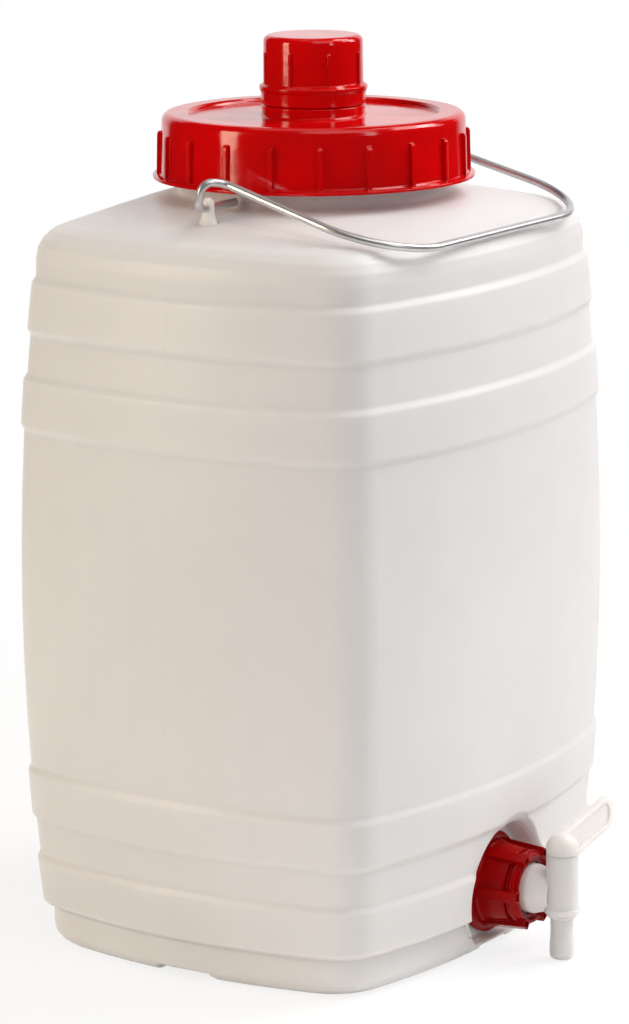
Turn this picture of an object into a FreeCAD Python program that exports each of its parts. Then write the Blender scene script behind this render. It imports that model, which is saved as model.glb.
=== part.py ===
"""Plastic water canister with a screw lid, pour cap, wire bail handle and tap.

The frame has +Z up and its origin under the middle of the tank's base. The tap is
on the -Y face and the bail turns about an X axis. All sizes are in millimetres.
"""
import FreeCAD, Part

import math
import os

from FreeCAD import Vector

# Tank plan: half width across X at mid height, and how much less it is across Y
TANK_HALF_X = 137.2
TANK_LESS_Y = 18.0
CORNER_RADIUS = 27.0
FACE_RADIUS_X = 306.0
FACE_RADIUS_Y = 364.0
TANK_WALL = 2.4

# Tank levels: the barrel is widest at mid height and its hoops stand proud
BARREL_MID_Z = 175.0
BARREL_TAPER = 11.1
HOOP_DEPTH = 1.6
HOOP_RAMP = 3.0
HOOP_LEVELS = ((22.3, 44.0), (67.2, 88.7), (262.1, 283.7), (308.7, 330.6))
FOOT_INSET = 4.8
FOOT_RADIUS = 10.0
BARREL_STEPS = 6
ROUND_STEPS = 4

# Shoulder and neck
SHOULDER_Z = 342.5
SHOULDER_HALF_X = 126.3
SHOULDER_RADIUS = 16.0
SHOULDER_END_ANGLE = 78.0
NECK_RADIUS = 66.0
NECK_BASE_Z = 368.0
NECK_FILLET = 3.0
NECK_TOP_Z = NECK_BASE_Z + 32.4

# Underside: a cross of two grooves leaves four corner feet
BASE_GROOVE_WIDTH = 29.0
BASE_GROOVE_DEPTH = 4.6
BASE_GROOVE_DRAFT = 4.0

# Screw lid: the room round the neck is where the coarse thread runs
LID_THREAD_ROOM = 6.0
LID_WALL = 3.0
LID_DROP = 24.0
LID_RISE = 7.4
LID_FLANGE_PROUD = 3.7
LID_FLANGE_THICK = 1.8
LID_EDGE_RADIUS = 4.0
LID_RIM_WIDTH = 14.4
LID_PANEL_DEPTH = 2.0
LID_PLATE = 2.8
LID_RIBS = 20
LID_RIB_PHASE = -1.0
LID_RIB_WIDTH = 2.2
LID_RIB_HEIGHT = 1.8
LID_RIB_DROP = 8.8
LID_GASKET_WIDTH = 7.0
LID_GASKET_LAP = 1.5

# Pour neck, in one with the lid, and its cap
POUR_COLLAR_RADIUS = 25.2
POUR_COLLAR_RISE = 3.4
POUR_NECK_RADIUS = 19.8
POUR_NECK_BORE = 17.0
CAP_RISE = 33.7
CAP_RADIUS = 24.2
CAP_EDGE_RADIUS = 3.2
CAP_WALL = 2.2
CAP_PLATE = 3.1
CAP_SEAT_GAP = 0.3
CAP_BEAD_RISE = 8.5
CAP_BEAD_RADIUS = 26.4
CAP_SKIRT_RADIUS = 25.6
CAP_RIBS = 8
CAP_RIB_PHASE = 5.7
CAP_RIB_WIDTH = 1.6
CAP_RIB_HEIGHT = 0.9
CAP_RIB_DROP = 7.2
CAP_GASKET_THICK = 1.6

# Wire bail and its two lugs
WIRE_RADIUS = 1.95
PIVOT_Z = 371.3
LUG_X = 92.2
LUG_THICK = 4.2
LUG_HEAD_RADIUS = 4.8
LUG_ROOT_HALF = 5.0
LUG_ROOT_Z = 357.0
WIRE_FIT = 0.08
STUB_TIP_X = 69.5
HOOK_X = 101.5
HOOK_TOP = (101.8, -3.3, 385.0)
HOOK_BEND = 5.5
HOOK_LEAN = (91.4, -9.3, 383.1)
HOOK_LEAN_BEND = 5.0
HOOK_FOOT_BEND = 4.6
GRIP_CORNER = (98.6, -106.0, 356.3)
GRIP_BEND = 39.6

# Round niche for the tap, its spigot and ring nut
TAP_X = 0.0
TAP_Z = 33.2
NICHE_Z = 30.5
NICHE_BOTTOM_Z = 6.4
NICHE_DEPTH = 20.8
NICHE_RADIUS = 31.0
NICHE_DRAFT = 9.0
NICHE_FLARE_DEPTH = 9.5
NICHE_FLARE = 40.0
SPIGOT_RADIUS = 16.0
SPIGOT_BORE = 12.0
SPIGOT_THREAD = 1.0
SPIGOT_LENGTH = 18.7
TAP_GASKET_THICK = 1.5
TAP_FLANGE_THICK = 2.6
NUT_GAP = 0.3
NUT_FLANGE_RADIUS = 25.2
NUT_FLANGE_THICK = 2.2
NUT_STEP_RADIUS = 22.9
NUT_STEP_HEIGHT = 1.6
NUT_BACK_RADIUS = 20.6
NUT_FRONT_RADIUS = 18.4
NUT_BORE_FIT = 0.5
NUT_FACE_THICK = 4.4
NUT_HOLE_RADIUS = 13.0
NUT_LIP_RADIUS = 15.6
NUT_LIP_DEPTH = 1.8
NUT_LUGS = 6
NUT_LUG_WIDTH = 2.6
NUT_LUG_REACH = 21.6
NUT_LUG_FRONT_REACH = 19.6
NUT_LUG_PROUD = 1.6

# Tap body and turning core
TAP_REACH = 42.6
HUB_RADIUS = 12.2
HUB_END_RADIUS = 9.0
HUB_BORE = 6.0
BARREL_RADIUS = 8.1
BARREL_TOP_Z = 53.2
BARREL_BOTTOM_Z = 23.2
COLLAR_HEIGHT = 3.2
COLLAR_RADIUS = 8.7
PLUG_RADIUS = 6.2
PLUG_FIT = 0.06
CORE_GAP = 0.15
DOME_RADIUS = 7.9
SPOUT_RADIUS = 5.6
SPOUT_TIP_RADIUS = 6.0
SPOUT_END_Z = 0.6
SPOUT_BORE = 4.2
SNAP_RADIUS = 6.9
SNAP_HEIGHT = 1.4
LEVER_REACH = 47.5
LEVER_RISE = 11.0
LEVER_HEIGHT = 16.5
LEVER_RIM = 3.2
LEVER_WEB = 1.4
LEVER_BORDER = 2.2

# Levels that follow from the sizes above
LID_SKIRT_RADIUS = NECK_RADIUS + LID_THREAD_ROOM + LID_WALL
LID_FLANGE_RADIUS = LID_SKIRT_RADIUS + LID_FLANGE_PROUD
LID_PANEL_RADIUS = LID_SKIRT_RADIUS - LID_RIM_WIDTH
LID_FLANGE_Z = NECK_TOP_Z - LID_DROP
LID_TOP_Z = NECK_TOP_Z + LID_RISE
LID_RIB_TOP_Z = LID_TOP_Z - LID_RIB_DROP
POUR_COLLAR_TOP_Z = LID_TOP_Z + POUR_COLLAR_RISE
CAP_TOP_Z = POUR_COLLAR_TOP_Z + CAP_RISE
CAP_BEAD_Z = POUR_COLLAR_TOP_Z + CAP_BEAD_RISE
CAP_RIB_TOP_Z = CAP_TOP_Z - CAP_RIB_DROP
CAP_UNDER_Z = CAP_TOP_Z - CAP_PLATE
POUR_NECK_TOP_Z = CAP_UNDER_Z - CAP_GASKET_THICK
LID_PANEL_Z = LID_TOP_Z - LID_PANEL_DEPTH
LID_UNDER_Z = LID_PANEL_Z - LID_PLATE
SEAT_Y = NICHE_DEPTH - (TANK_HALF_X - TANK_LESS_Y)
TAP_AXIS_Y = SEAT_Y - TAP_REACH
SPIGOT_END_Y = SEAT_Y - SPIGOT_LENGTH
NUT_FRONT_Y = SPIGOT_END_Y - TAP_GASKET_THICK - TAP_FLANGE_THICK - NUT_FACE_THICK

ORIGIN = Vector(0, 0, 0)
X_AXIS = Vector(1, 0, 0)
Y_AXIS = Vector(0, 1, 0)
Z_AXIS = Vector(0, 0, 1)


def revolve(points, centre=ORIGIN, axis=Z_AXIS):
    """Turn a closed (radius, height) outline about Z, then lay it along the axis at the centre."""
    corners = [Vector(r, 0, h) for r, h in points]
    outline = Part.makePolygon(corners + [corners[0]])
    solid = Part.Face(outline).revolve(ORIGIN, Z_AXIS, 360)
    solid.Placement = FreeCAD.Placement(centre, FreeCAD.Rotation(Z_AXIS, axis))
    return solid


def rounded(centre, radius, start, end, steps):
    """Points on an arc of an outline, angles in degrees from the radius direction."""
    angles = [math.radians(start + (end - start) * i / steps) for i in range(steps + 1)]
    return [(centre[0] + radius * math.cos(a), centre[1] + radius * math.sin(a)) for a in angles]


# Tank sections
def plan_arcs(half_x, inset):
    """Eight arcs, each as (start, middle, end), of the tank's plan at one level."""
    half_y = half_x - TANK_LESS_Y
    corner = CORNER_RADIUS - inset
    radius_x, radius_y = FACE_RADIUS_X - inset, FACE_RADIUS_Y - inset
    centre_x, centre_y = half_x - radius_x, half_y - radius_y
    reach_x, reach_y = radius_x - corner, radius_y - corner
    span = math.hypot(centre_x, centre_y)
    along = (reach_x ** 2 - reach_y ** 2 + span ** 2) / (2 * span)
    away = math.sqrt(reach_x ** 2 - along ** 2)
    ux, uy = -centre_x / span, centre_y / span
    middle = (centre_x + along * ux, along * uy)
    meets = [(middle[0] - s * away * uy, middle[1] + s * away * ux) for s in (-1, 1)]
    mid = max(meets, key=sum)
    a1 = math.atan2(mid[1], mid[0] - centre_x)
    a2 = math.atan2(mid[1] - centre_y, mid[0])

    def on_x(a):
        return (centre_x + radius_x * math.cos(a), radius_x * math.sin(a))

    def on_y(a):
        return (radius_y * math.cos(a), centre_y + radius_y * math.sin(a))

    def on_corner(a):
        return (mid[0] + corner * math.cos(a), mid[1] + corner * math.sin(a))

    face_x = (on_x(-a1), on_x(0.0), on_x(a1))
    face_y = (on_y(a2), on_y(math.pi / 2), on_y(math.pi - a2))
    bend = (on_corner(a1), on_corner((a1 + a2) / 2), on_corner(a2))

    def turned(arc, sx, sy, back):
        points = [(sx * x, sy * y) for x, y in arc]
        return tuple(points[::-1] if back else points)

    return [face_x, bend, face_y, turned(bend, -1, 1, True), turned(face_x, -1, -1, False),
            turned(bend, -1, -1, False), turned(face_y, -1, -1, False), turned(bend, 1, -1, True)]


def circle_arcs(radius):
    """The same eight arcs on a circle."""
    split = [-38, 0, 38, 44.5, 51, 90, 129, 135.5, 142, 180, 218, 224.5, 231, 270, 309, 315.5, 322]
    points = [(radius * math.cos(math.radians(a)), radius * math.sin(math.radians(a))) for a in split]
    return [tuple(points[i:i + 3]) for i in range(0, 16, 2)]


def section_wire(half_x, z, blend, inset):
    """Closed section of the tank; blend runs from the tank's plan at 0 to a circle at 1."""
    plan = circle_arcs(half_x) if blend >= 1 else plan_arcs(half_x, inset)
    if 0 < blend < 1:
        ring = circle_arcs(half_x)
        plan = [tuple(((1 - blend) * p[0] + blend * q[0], (1 - blend) * p[1] + blend * q[1])
                      for p, q in zip(arc, other)) for arc, other in zip(plan, ring)]
    edges = [Part.Arc(*[Vector(x, y, z) for x, y in arc]).toShape() for arc in plan]
    return Part.Wire(edges)


def barrel_half(z, proud=True):
    """Half width across X of the barrel at a height, on a hoop or between hoops."""
    crest = TANK_HALF_X - BARREL_TAPER * ((z - BARREL_MID_Z) / BARREL_MID_Z) ** 2
    return crest if proud else crest - HOOP_DEPTH


def tank_profile():
    """(half width, height, blend) from the base to the rim of the neck."""
    foot_half = barrel_half(HOOP_LEVELS[0][0]) - FOOT_INSET
    foot_centre = (foot_half - FOOT_RADIUS, FOOT_RADIUS)
    steps = [(w, z, 0) for w, z in rounded(foot_centre, FOOT_RADIUS, -90, 0, ROUND_STEPS)]
    for number, (low, high) in enumerate(HOOP_LEVELS):
        below = foot_half if number == 0 else barrel_half(low - HOOP_RAMP, False)
        steps.append((below, low - HOOP_RAMP, 0))
        steps.append((barrel_half(low), low, 0))
        steps.append((barrel_half(high), high, 0))
        steps.append((barrel_half(high + HOOP_RAMP, False), high + HOOP_RAMP, 0))
        if number == 1:
            start, end = high + HOOP_RAMP, HOOP_LEVELS[2][0] - HOOP_RAMP
            for i in range(1, BARREL_STEPS):
                z = start + (end - start) * i / BARREL_STEPS
                steps.append((barrel_half(z, False), z, 0))
    shoulder_centre = (SHOULDER_HALF_X - SHOULDER_RADIUS, SHOULDER_Z)
    edge = rounded(shoulder_centre, SHOULDER_RADIUS, 0, SHOULDER_END_ANGLE, ROUND_STEPS)
    steps += [(w, z, 0) for w, z in edge]
    (start_w, start_z), end_w = edge[-1], NECK_RADIUS + NECK_FILLET
    for share, blend in ((0.3, 0.3), (0.6, 0.62), (0.85, 0.87), (1.0, 1.0)):
        crown = 1.2 * math.sin(math.pi * share)
        rise = share * (NECK_BASE_Z - start_z) + crown
        steps.append((start_w + share * (end_w - start_w), start_z + rise, blend))
    fillet_centre = (NECK_RADIUS + NECK_FILLET, NECK_BASE_Z + NECK_FILLET)
    steps += [(w, z, 1) for w, z in rounded(fillet_centre, -NECK_FILLET, 90, 0, 2)[1:]]
    steps.append((NECK_RADIUS, NECK_TOP_Z, 1))
    return steps


def inner_profile(steps, wall):
    """The profile set in by the wall, square to the profile at each level."""
    result = []
    for i, (w, z, blend) in enumerate(steps):
        before, after = steps[max(i - 1, 0)], steps[min(i + 1, len(steps) - 1)]
        tw1, tz1 = w - before[0], z - before[1]
        tw2, tz2 = after[0] - w, after[1] - z
        n1, n2 = math.hypot(tw1, tz1) or 1, math.hypot(tw2, tz2) or 1
        tw, tz = tw1 / n1 + tw2 / n2, tz1 / n1 + tz2 / n2
        n = math.hypot(tw, tz)
        result.append((w - wall * tz / n, z + wall * tw / n, blend))
    first, last = result[0], result[-1]
    result[0] = (steps[0][0] - 0.2 * wall, wall, 0)
    result[-1] = (last[0], last[1] + 1.0, last[2])
    return result


def loft(steps, inset):
    wires = [section_wire(w, z, blend, inset) for w, z, blend in steps]
    return Part.makeLoft(wires, True, True)


def base_grooves(grow):
    """The cross of two grooves under the base; grow widens it for the inside."""
    half = BASE_GROOVE_WIDTH / 2 + grow
    top = BASE_GROOVE_DEPTH + grow
    outline = [(-half - BASE_GROOVE_DRAFT, -1), (half + BASE_GROOVE_DRAFT, -1), (half, top), (-half, top)]
    grooves = []
    for along, across in ((X_AXIS, Y_AXIS), (Y_AXIS, X_AXIS)):
        points = [across * a + Z_AXIS * h - along * 2 * TANK_HALF_X for a, h in outline]
        grooves.append(Part.Face(Part.makePolygon(points + [points[0]])).extrude(along * 4 * TANK_HALF_X))
    return grooves[0].fuse(grooves[1])


def tap_niche(grow):
    """Round niche in the -Y face: flat floor, drafted wall and flared rim; grow is for the inside."""
    draft, flare = math.tan(math.radians(NICHE_DRAFT)), math.tan(math.radians(NICHE_FLARE))
    floor = NICHE_RADIUS + grow
    knee_depth = NICHE_FLARE_DEPTH + grow
    knee = floor + draft * knee_depth
    reach = 2 * NICHE_FLARE_DEPTH
    outline = [(0, 0), (floor, 0), (knee, knee_depth), (knee + flare * reach, knee_depth + reach),
               (0, knee_depth + reach)]
    niche = revolve(outline, Vector(TAP_X, SEAT_Y + grow, NICHE_Z), -Y_AXIS)
    span = 4 * NICHE_RADIUS
    corner = Vector(TAP_X - span / 2, SEAT_Y + grow - span, NICHE_BOTTOM_Z - grow)
    above = Part.makeBox(span, span, span, corner)
    return niche.common(above)


def handle_lug(side):
    """Nub on the shoulder with the hole that the bail's end turns in."""
    head = Part.makeCylinder(LUG_HEAD_RADIUS, LUG_THICK, Vector(-LUG_THICK / 2, 0, PIVOT_Z), X_AXIS)
    reach = PIVOT_Z - LUG_ROOT_Z
    neck = (0.98 * LUG_HEAD_RADIUS, PIVOT_Z + 0.1 * reach)
    sides = [(-LUG_ROOT_HALF, LUG_ROOT_Z), (LUG_ROOT_HALF, LUG_ROOT_Z), neck, (-neck[0], neck[1])]
    outline = [Vector(-LUG_THICK / 2, y, z) for y, z in sides]
    stem = Part.Face(Part.makePolygon(outline + [outline[0]])).extrude(X_AXIS * LUG_THICK)
    lug = stem.fuse(head)
    lug.translate(Vector(side * LUG_X, 0, 0))
    return lug


def make_container():
    """Blow-moulded tank with neck, lugs, feet and the tap's spigot."""
    outer_steps = tank_profile()
    outer = loft(outer_steps, 0.0).cut(base_grooves(0.0)).cut(tap_niche(0.0))
    for side in (-1, 1):
        outer = outer.fuse(handle_lug(side))
    root = tap_point(SEAT_Y + TANK_WALL / 2)
    outer = outer.fuse(Part.makeCylinder(SPIGOT_RADIUS, SPIGOT_LENGTH + TANK_WALL / 2, root, -Y_AXIS))
    inner = loft(inner_profile(outer_steps, TANK_WALL), TANK_WALL)
    inner = inner.cut(base_grooves(TANK_WALL)).cut(tap_niche(TANK_WALL))
    tank = outer.cut(inner)
    inside = 4 * TANK_WALL
    way = SPIGOT_LENGTH + 2 * inside
    tank = tank.cut(Part.makeCylinder(SPIGOT_BORE, way, tap_point(SEAT_Y + inside), -Y_AXIS))
    hole_end = LUG_X + 2 * LUG_THICK
    hole = Part.makeCylinder(WIRE_RADIUS + WIRE_FIT, 2 * hole_end, Vector(-hole_end, 0, PIVOT_Z), X_AXIS)
    height = NECK_TOP_Z - SHOULDER_Z
    keep = Part.makeCylinder(NECK_RADIUS + NECK_FILLET, height, Vector(0, 0, SHOULDER_Z), Z_AXIS)
    tank = tank.cut(hole.cut(keep))
    return tank.removeSplitter()


# Lid, cap and seals
def make_lid_gasket():
    """Flat ring between the rim of the neck and the underside of the lid."""
    outer = NECK_RADIUS + LID_GASKET_LAP
    inner = outer - LID_GASKET_WIDTH
    return revolve([(inner, NECK_TOP_Z), (outer, NECK_TOP_Z), (outer, LID_UNDER_Z), (inner, LID_UNDER_Z)])


def make_screw_lid():
    """Lid with a ribbed skirt, raised rim, sunk panel and the pour neck."""
    panel_z, under_z = LID_PANEL_Z, LID_UNDER_Z
    skirt_in = LID_SKIRT_RADIUS - LID_WALL
    edge_centre = (LID_SKIRT_RADIUS - 0.9 - LID_EDGE_RADIUS, LID_TOP_Z - LID_EDGE_RADIUS)
    edge = rounded(edge_centre, LID_EDGE_RADIUS, 0, 90, 4)
    outline = [(skirt_in, LID_FLANGE_Z), (LID_FLANGE_RADIUS, LID_FLANGE_Z),
               (LID_FLANGE_RADIUS, LID_FLANGE_Z + LID_FLANGE_THICK * 0.7),
               (LID_SKIRT_RADIUS + 0.8, LID_FLANGE_Z + LID_FLANGE_THICK),
               (LID_SKIRT_RADIUS, LID_FLANGE_Z + LID_FLANGE_THICK + 0.8)]
    outline += edge
    outline += [(LID_PANEL_RADIUS + 1.2, LID_TOP_Z), (LID_PANEL_RADIUS, LID_TOP_Z - 1.0),
                (LID_PANEL_RADIUS - 0.6, panel_z), (POUR_COLLAR_RADIUS + 0.8, panel_z),
                (POUR_COLLAR_RADIUS, panel_z + 0.8), (POUR_COLLAR_RADIUS, POUR_COLLAR_TOP_Z - 0.6),
                (POUR_COLLAR_RADIUS - 0.6, POUR_COLLAR_TOP_Z), (POUR_NECK_RADIUS, POUR_COLLAR_TOP_Z),
                (POUR_NECK_RADIUS, POUR_NECK_TOP_Z - 0.6), (POUR_NECK_RADIUS - 0.6, POUR_NECK_TOP_Z),
                (POUR_NECK_BORE, POUR_NECK_TOP_Z), (POUR_NECK_BORE, POUR_COLLAR_TOP_Z - LID_PLATE),
                (POUR_COLLAR_RADIUS - LID_PLATE, POUR_COLLAR_TOP_Z - LID_PLATE),
                (POUR_COLLAR_RADIUS - LID_PLATE, under_z), (skirt_in - 1.5, under_z),
                (skirt_in, under_z - 1.5)]
    lid = revolve(outline)
    rib_foot = LID_FLANGE_Z + 0.4 * LID_FLANGE_THICK
    crest = LID_SKIRT_RADIUS + LID_RIB_HEIGHT
    inside = LID_SKIRT_RADIUS - LID_WALL / 2
    blade = [(inside, rib_foot), (crest, rib_foot), (crest - 0.5, LID_RIB_TOP_Z - 1.6),
             (crest - 1.1, LID_RIB_TOP_Z - 0.4), (inside, LID_RIB_TOP_Z)]
    return lid.fuse(ribs(blade, LID_RIB_WIDTH, LID_RIBS, LID_RIB_PHASE)).removeSplitter()


def ribs(blade, width, count, phase):
    """Upright ribs round the Z axis from a (radius, height) outline."""
    corners = [Vector(r, -width / 2, h) for r, h in blade]
    rib = Part.Face(Part.makePolygon(corners + [corners[0]])).extrude(Y_AXIS * width)
    copies = []
    for i in range(count):
        copy = rib.copy()
        copy.rotate(ORIGIN, Z_AXIS, phase + 360.0 * i / count)
        copies.append(copy)
    return copies


def make_pour_cap_gasket():
    """Disc between the rim of the pour neck and the underside of the cap."""
    edge = POUR_NECK_RADIUS + 0.5
    return revolve([(0, POUR_NECK_TOP_Z), (edge, POUR_NECK_TOP_Z), (edge, CAP_UNDER_Z), (0, CAP_UNDER_Z)])


def make_pour_cap():
    """Small cap with a rounded top edge, thin grip ribs, a bead and a lower skirt."""
    bottom = POUR_COLLAR_TOP_Z + CAP_SEAT_GAP
    top_in = CAP_UNDER_Z
    bore = CAP_RADIUS - CAP_WALL
    edge = rounded((CAP_RADIUS - CAP_EDGE_RADIUS, CAP_TOP_Z - CAP_EDGE_RADIUS), CAP_EDGE_RADIUS, 0, 90, 5)
    outline = [(bore, bottom), (CAP_SKIRT_RADIUS - 0.5, bottom), (CAP_SKIRT_RADIUS, bottom + 0.5),
               (CAP_SKIRT_RADIUS, CAP_BEAD_Z - 2.2), (CAP_BEAD_RADIUS, CAP_BEAD_Z - 0.8),
               (CAP_BEAD_RADIUS, CAP_BEAD_Z + 0.6), (CAP_RADIUS + 0.2, CAP_BEAD_Z + 2.2)]
    outline += edge + [(0, CAP_TOP_Z), (0, top_in), (bore - 1.0, top_in), (bore, top_in - 1.0)]
    cap = revolve(outline)
    inside, crest = CAP_RADIUS - CAP_WALL / 2, CAP_RADIUS + CAP_RIB_HEIGHT
    blade = [(inside, CAP_BEAD_Z), (crest, CAP_BEAD_Z), (crest, CAP_RIB_TOP_Z - 0.9),
             (inside, CAP_RIB_TOP_Z)]
    return cap.fuse(ribs(blade, CAP_RIB_WIDTH, CAP_RIBS, CAP_RIB_PHASE)).removeSplitter()


# Wire bail
def rounded_path(corners):
    """Wire of straight runs and tangent arcs through (point, bend radius) corners."""
    edges, last = [], corners[0][0]
    for (before, _), (point, radius), (after, _) in zip(corners, corners[1:], corners[2:]):
        u, v = (before - point).normalize(), (after - point).normalize()
        half = math.acos(max(-1.0, min(1.0, u.dot(v)))) / 2
        cut = radius / math.tan(half)
        start, end = point + u * cut, point + v * cut
        centre = point + (u + v).normalize() * (radius / math.sin(half))
        middle = centre + (point - centre).normalize() * radius
        edges += [Part.LineSegment(last, start).toShape(), Part.Arc(start, middle, end).toShape()]
        last = end
    edges.append(Part.LineSegment(last, corners[-1][0]).toShape())
    return Part.Wire(edges)


def make_bail_handle():
    """One wire from the end in one lug, round its hook and the grip, to the other lug."""
    bends = [((STUB_TIP_X, 0, PIVOT_Z), 0), ((HOOK_X, 0, PIVOT_Z), HOOK_FOOT_BEND),
             (HOOK_TOP, HOOK_BEND), (HOOK_LEAN, HOOK_LEAN_BEND), (GRIP_CORNER, GRIP_BEND)]
    half = [(Vector(-point[0], point[1], point[2]), bend) for point, bend in bends]
    other = [(Vector(-p.x, p.y, p.z), bend) for p, bend in reversed(half)]
    path = rounded_path(half + other)
    ring = Part.Wire(Part.makeCircle(WIRE_RADIUS, path.Vertexes[0].Point, X_AXIS))
    return path.makePipeShell([ring], True, False)


# Tap
def tap_point(y):
    return Vector(TAP_X, y, TAP_Z)


def make_tap_gasket():
    ring = Part.makeCylinder(SPIGOT_RADIUS, TAP_GASKET_THICK, tap_point(SPIGOT_END_Y), -Y_AXIS)
    return ring.cut(Part.makeCylinder(HUB_BORE + 2, TAP_GASKET_THICK, tap_point(SPIGOT_END_Y), -Y_AXIS))


def make_tap_body():
    """Flange, tapered hub and the upright barrel that the core turns in."""
    back = SPIGOT_END_Y - TAP_GASKET_THICK
    flange = Part.makeCylinder(SPIGOT_RADIUS, TAP_FLANGE_THICK, tap_point(back), -Y_AXIS)
    straight_end = NUT_FRONT_Y - 1.0
    hub = Part.makeCylinder(HUB_RADIUS, back - straight_end, tap_point(back), -Y_AXIS)
    cone_length = straight_end - TAP_AXIS_Y - 0.5 * BARREL_RADIUS
    taper = Part.makeCone(HUB_RADIUS, HUB_END_RADIUS, cone_length, tap_point(straight_end), -Y_AXIS)
    axis = Vector(TAP_X, TAP_AXIS_Y, 0)
    collar_top = BARREL_BOTTOM_Z + COLLAR_HEIGHT
    barrel = revolve([(0, BARREL_BOTTOM_Z), (COLLAR_RADIUS - 0.6, BARREL_BOTTOM_Z),
                      (COLLAR_RADIUS, BARREL_BOTTOM_Z + 0.6), (COLLAR_RADIUS, collar_top - 0.5),
                      (BARREL_RADIUS + 0.1, collar_top), (BARREL_RADIUS - 0.3, BARREL_TOP_Z - 0.3),
                      (BARREL_RADIUS - 0.6, BARREL_TOP_Z), (0, BARREL_TOP_Z)], axis)
    body = flange.fuse([hub, taper, barrel])
    bore = Part.makeCylinder(PLUG_RADIUS + PLUG_FIT, 80, axis, Z_AXIS)
    inlet = Part.makeCylinder(HUB_BORE, back - TAP_AXIS_Y, tap_point(back), -Y_AXIS)
    return body.cut(bore.fuse(inlet)).removeSplitter()


def make_tap_nut():
    """Ring nut: stepped flange, tapered body with six grips and a lipped front hole."""
    back = SEAT_Y - NUT_GAP
    depth = back - NUT_FRONT_Y
    bore = SPIGOT_RADIUS + SPIGOT_THREAD + NUT_BORE_FIT
    face = depth - NUT_FACE_THICK
    step = NUT_FLANGE_THICK + NUT_STEP_HEIGHT
    outline = [(bore, 0), (NUT_FLANGE_RADIUS, 0), (NUT_FLANGE_RADIUS, NUT_FLANGE_THICK),
               (NUT_STEP_RADIUS, NUT_FLANGE_THICK), (NUT_STEP_RADIUS, step),
               (NUT_BACK_RADIUS, step), (NUT_FRONT_RADIUS, depth - 1.2),
               (NUT_FRONT_RADIUS - 1.2, depth), (NUT_LIP_RADIUS, depth),
               (NUT_LIP_RADIUS, depth - NUT_LIP_DEPTH),
               (NUT_HOLE_RADIUS, depth - NUT_LIP_DEPTH), (NUT_HOLE_RADIUS, face), (bore, face)]
    nut = revolve(outline, tap_point(back), -Y_AXIS)
    inside = bore + 0.6
    crest = depth + NUT_LUG_PROUD
    blade = [(inside, 0), (NUT_LUG_REACH, 0), (NUT_LUG_FRONT_REACH, crest - 0.8),
             (NUT_LUG_FRONT_REACH - 1.0, crest), (inside - 1.2, crest), (inside, depth)]
    corners = [Vector(-r, -h, -NUT_LUG_WIDTH / 2) for r, h in blade]
    grip = Part.Face(Part.makePolygon(corners + [corners[0]])).extrude(Z_AXIS * NUT_LUG_WIDTH)
    grips = []
    for i in range(NUT_LUGS):
        copy = grip.copy()
        copy.rotate(ORIGIN, Y_AXIS, 360.0 * i / NUT_LUGS)
        copy.translate(tap_point(back))
        grips.append(copy)
    return nut.fuse(grips).removeSplitter()


def lever_outline(border):
    """Paddle outline in the (reach, height) plane, set in by a border."""
    rise = math.tan(math.radians(LEVER_RISE))
    base_z, root = BARREL_TOP_Z + CORE_GAP, BARREL_RADIUS + 1.2
    low = BARREL_TOP_Z - 6.2
    corner = 5.5

    def point(reach, height):
        return Vector(TAP_X + reach, TAP_AXIS_Y, height)

    tip, b = LEVER_REACH - border, border
    start = root + b if b else 0.0
    top0, bottom0 = low + LEVER_HEIGHT - b, low + b
    top_tip, bottom_tip = top0 + rise * (tip - corner), bottom0 + rise * (tip - corner)
    k = corner * 0.293
    edges = []
    if b:
        first = [point(start, bottom0 + rise * start), point(start, top0 + rise * start)]
    else:
        first = [point(root, bottom0 + rise * root), point(root, base_z), point(0, base_z)]
        first.append(point(0, top0))
    for p, q in zip(first, first[1:]):
        edges.append(Part.LineSegment(p, q).toShape())
    edges.append(Part.LineSegment(first[-1], point(tip - corner, top_tip)).toShape())
    edges.append(Part.Arc(point(tip - corner, top_tip), point(tip - k, top_tip - k),
                          point(tip, top_tip - corner)).toShape())
    edges.append(Part.LineSegment(point(tip, top_tip - corner), point(tip, bottom_tip + corner)).toShape())
    edges.append(Part.Arc(point(tip, bottom_tip + corner), point(tip - k, bottom_tip + k),
                          point(tip - corner, bottom_tip)).toShape())
    edges.append(Part.LineSegment(point(tip - corner, bottom_tip), first[0]).toShape())
    return Part.Face(Part.Wire(edges))


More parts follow.
